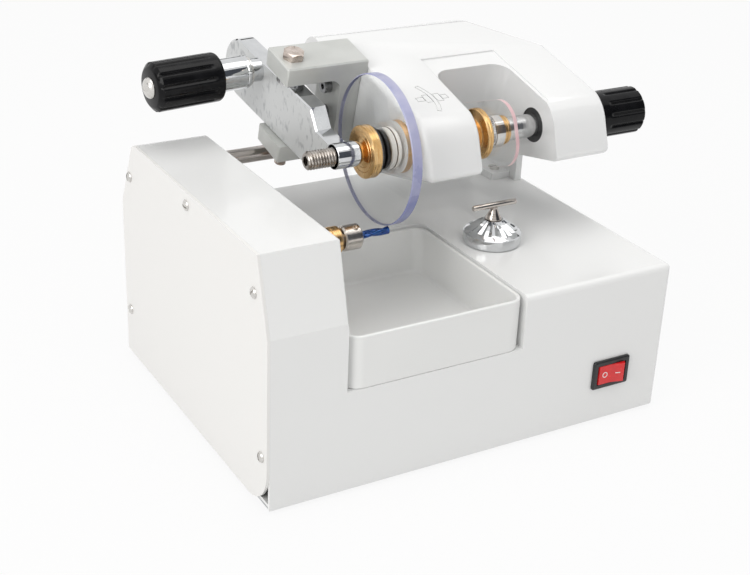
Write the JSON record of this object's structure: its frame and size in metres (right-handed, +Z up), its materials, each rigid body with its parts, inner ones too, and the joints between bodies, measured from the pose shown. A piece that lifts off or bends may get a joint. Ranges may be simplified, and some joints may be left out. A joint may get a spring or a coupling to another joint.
{
  "type": "optical lens edger",
  "caption": "Bench lens edger: a swinging head turns a lens blank against a small cutter above a chip tray while a pattern rides on an adjustable follower.",
  "frame": {"origin": "centre of the base's footprint, on the soles of the feet", "axes": "+X along the front to the turning knob's side, +Y to the back, +Z up"},
  "size_m": [0.2536, 0.191, 0.1773],
  "materials": {
    "white_enamel": "fine gloss powder coat",
    "cover_enamel": "fine satin powder coat",
    "white_casting": "smooth gloss enamel on a casting",
    "white_plastic": "moulded, slightly glossy",
    "black_phenolic": "moulded, glossy",
    "black_plastic": "moulded, matt",
    "red_plastic": "moulded, glossy",
    "chrome": "polished plating",
    "nickel": "nickel plate, satin",
    "steel": "ground",
    "aluminium": "milled, satin",
    "brass": "turned",
    "bronze": "sintered bronze",
    "grey_rubber": "moulded",
    "black_rubber": "moulded",
    "clear_lens": "polished",
    "blue_carbide": "coated",
    "green_board": "solder resist",
    "wire_cover": "extruded"
  },
  "bodies": {
    "base": {"housing": "white_enamel", "left_cover": "cover_enamel", "cover_screws": "nickel", "base_screws": "nickel", "bottom_plate": "steel", "feet": "black_rubber", "tray_well": "white_enamel", "rod_support": "white_enamel", "pivot_rod": "steel", "rod_block": "aluminium", "spindle_housing": "aluminium", "spindle_bearings": "steel", "spindle_nose": "brass", "drive_belt": "black_rubber", "motor_body": "black_plastic", "motor_bracket": "steel", "motor_screws": "nickel", "follower_guide": "brass", "switch_bezel": "black_plastic", "power_inlet": "black_plastic", "inlet_pins": "brass", "control_board": "green_board", "wiring": "wire_cover"},
    "head": {"head_casting": "white_casting", "rod_bushings": "bronze", "arm_bushings": "bronze", "end_bushing": "black_plastic", "clamp_bracket": "aluminium", "bracket_screws": "nickel", "lever_bolt": "nickel", "lever_spacer": "steel"},
    "lever": {"clamp_lever": "chrome", "pad_screw": "nickel"},
    "washer": {"clamp_washer": "nickel"},
    "clamp_screw": {"clamp_knob": "black_phenolic", "clamp_stud": "steel", "knob_sleeve": "chrome", "knob_screw": "nickel"},
    "pad": {"swivel_pad": "brass", "pad_facing": "grey_rubber"},
    "lens_train": {"lens_shaft": "steel", "lens_blank": "clear_lens", "chuck_cup": "black_plastic", "chuck_holder": "white_plastic", "pattern_disc": "brass", "pattern_lens": "clear_lens", "pattern_nut": "chrome", "nut_ring": "brass", "turning_knob": "black_phenolic"},
    "spindle": {"spindle_shaft": "steel", "spindle_pulley": "aluminium", "cutter_collar": "nickel", "milling_cutter": "blue_carbide"},
    "motor_rotor": {"motor_shaft": "steel", "motor_pulley": "aluminium"},
    "dial": {"follower_dial": "chrome"},
    "follower": {"follower_stem": "nickel", "follower_bar": "steel"},
    "tray": {"chip_tray": "white_plastic"},
    "rocker": {"switch_rocker": "red_plastic"}
  },
  "joints": [
    {"name": "head_swing", "type": "hinge", "parent": "base", "child": "head", "pos_m": [0, 0.0625, 0.1143], "axis": [-1, 0, 0], "range_deg": [0, 60]},
    {"name": "lens_spin", "type": "hinge", "parent": "head", "child": "lens_train", "pos_m": [0, -0.01247, 0.13763], "axis": [1, 0, 0], "continuous": true},
    {"name": "clamp_knob_turn", "type": "hinge", "parent": "washer", "child": "clamp_screw", "pos_m": [-0.04138, 0.06421, 0.15944], "axis": [0.9969, 0.0764, 0.0176], "range_deg": [-745, 0]},
    {"name": "screw_travel", "type": "slide", "parent": "lever", "child": "washer", "axis": [0.9969, 0.0764, 0.0176], "range_m": [-0.00258, 0]},
    {"name": "lever_swing", "type": "hinge", "parent": "head", "child": "lever", "pos_m": [-0.0395, 0.05071, 0.11158], "axis": [0, -0.225, 0.9744], "range_deg": [-6.02, 0]},
    {"name": "pad_spin", "type": "hinge", "parent": "lever", "child": "pad", "pos_m": [-0.027, -0.01247, 0.13763], "axis": [1, 0, 0], "continuous": true},
    {"name": "motor_spin", "type": "hinge", "parent": "base", "child": "motor_rotor", "pos_m": [-0.09, 0.0425, 0.0445], "axis": [1, 0, 0], "continuous": true},
    {"name": "spindle_spin", "type": "hinge", "parent": "base", "child": "spindle", "pos_m": [-0.08, -0.0255, 0.1005], "axis": [1, 0, 0], "continuous": true},
    {"name": "dial_turn", "type": "hinge", "parent": "base", "child": "dial", "pos_m": [0.0445, -0.0255, 0.083], "axis": [0, 0, 1], "range_deg": [0, 1440]},
    {"name": "follower_lift", "type": "slide", "parent": "base", "child": "follower", "axis": [0, 0, 1], "range_m": [0, 0.004]},
    {"name": "tray_slide", "type": "slide", "parent": "base", "child": "tray", "axis": [0, -1, 0], "range_m": [0, 0.09]},
    {"name": "rocker_tip", "type": "hinge", "parent": "base", "child": "rocker", "pos_m": [0.0798, -0.0855, 0.0291], "axis": [0, 0, 1], "range_deg": [0, 14]}
  ],
  "couplings": [
    {"joint": "clamp_knob_turn", "follows": "screw_travel", "rad_per_m": 5026.5},
    {"joint": "lever_swing", "follows": "screw_travel", "rad_per_m": 40.565},
    {"joint": "pad_spin", "follows": "lens_spin", "ratio": 1},
    {"joint": "spindle_spin", "follows": "motor_spin", "ratio": 2},
    {"joint": "follower_lift", "follows": "dial_turn", "m_per_rad": 0.00015915}
  ]
}
